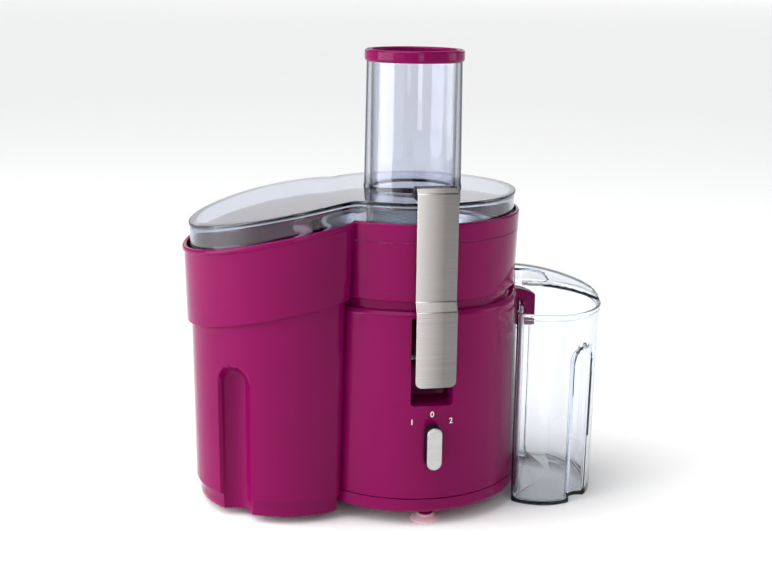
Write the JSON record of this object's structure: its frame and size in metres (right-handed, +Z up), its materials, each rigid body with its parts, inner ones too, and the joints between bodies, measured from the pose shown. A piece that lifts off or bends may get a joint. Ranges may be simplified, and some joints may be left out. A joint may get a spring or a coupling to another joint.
{
  "type": "centrifugal juicer",
  "caption": "Countertop centrifugal juicer with tall feed chute, clear lid, spinning sieve, side pulp container, locking arm, dial and clear juice jug.",
  "frame": {"origin": "under the middle of the whole appliance, on the surface it stands on", "axes": "+Z up along the feed chute; -Y the front with locking arm and dial; -X the pulp container; +X the juice jug"},
  "size_m": [0.379, 0.211, 0.402],
  "materials": {
    "magenta_plastic": "glossy moulded ABS",
    "smoked_clear": "smoked transparent polycarbonate",
    "clear_plastic": "clear styrene acrylonitrile",
    "brushed_steel": "brushed lengthwise",
    "sieve_steel": "etched stainless steel",
    "dark_plastic": "fine texture",
    "pink_rubber": "translucent soft rubber",
    "inner_plastic": "moulded",
    "plain_steel": "machined",
    "iron_core": "laminated",
    "copper": "wound wire"
  },
  "bodies": {
    "base": {"motor_housing": "magenta_plastic", "base_plate": "magenta_plastic", "suction_cups": "pink_rubber", "foot_stems": "magenta_plastic", "base_screws": "plain_steel", "arm_pivot_pin": "plain_steel", "cord_gland": "dark_plastic", "rotary_switch": "inner_plastic", "interlock_switch": "inner_plastic", "motor_bracket": "plain_steel", "motor_top_bracket": "plain_steel", "lower_bearing": "plain_steel", "upper_bearing": "plain_steel", "motor_stator": "iron_core", "brush_holder": "inner_plastic", "shaft_seal": "dark_plastic", "juice_bowl": "magenta_plastic", "bowl_collar": "magenta_plastic"},
    "rotor": {"motor_shaft": "plain_steel", "motor_armature": "iron_core", "commutator": "copper", "cooling_fan": "inner_plastic", "drive_coupling": "dark_plastic", "filter_basket": "sieve_steel", "basket_rim": "sieve_steel", "grater_disc": "sieve_steel", "disc_nut": "plain_steel"},
    "lid": {"lid_cover": "smoked_clear", "feed_chute": "smoked_clear", "chute_ring": "magenta_plastic"},
    "container": {"pulp_container": "magenta_plastic", "container_foot": "magenta_plastic", "container_band": "magenta_plastic"},
    "arm": {"arm_strap": "brushed_steel", "arm_core": "dark_plastic"},
    "dial": {"dial_knob": "dark_plastic", "dial_face": "brushed_steel", "dial_spindle": "dark_plastic"},
    "jug": {"juice_jug": "clear_plastic", "jug_guard": "clear_plastic"}
  },
  "joints": [
    {"name": "motor_spin", "type": "hinge", "parent": "base", "child": "rotor", "pos_m": [0.0136, 0.0045, 0.19], "axis": [0, 0, 1], "continuous": true},
    {"name": "arm_swing", "type": "hinge", "parent": "base", "child": "arm", "pos_m": [0.0136, -0.0815, 0.15], "axis": [1, 0, 0], "range_deg": [0, 75]},
    {"name": "lid_lift", "type": "slide", "parent": "base", "child": "lid", "axis": [0, 0, 1], "range_m": [0, 0.045]},
    {"name": "container_slide", "type": "slide", "parent": "base", "child": "container", "axis": [-1, 0, 0], "range_m": [0, 0.05]},
    {"name": "dial_turn", "type": "hinge", "parent": "base", "child": "dial", "pos_m": [0.0136, -0.09, 0.0747], "axis": [0, 1, 0], "range_deg": [-35, 35]},
    {"name": "jug_slide", "type": "slide", "parent": "base", "child": "jug", "axis": [1, 0, 0], "range_m": [0, 0.12]}
  ],
  "couplings": [
    {"joint": "lid_lift", "follows": "arm_swing", "m_per_rad": 0.0343},
    {"joint": "container_slide", "follows": "arm_swing", "m_per_rad": 0.038}
  ]
}
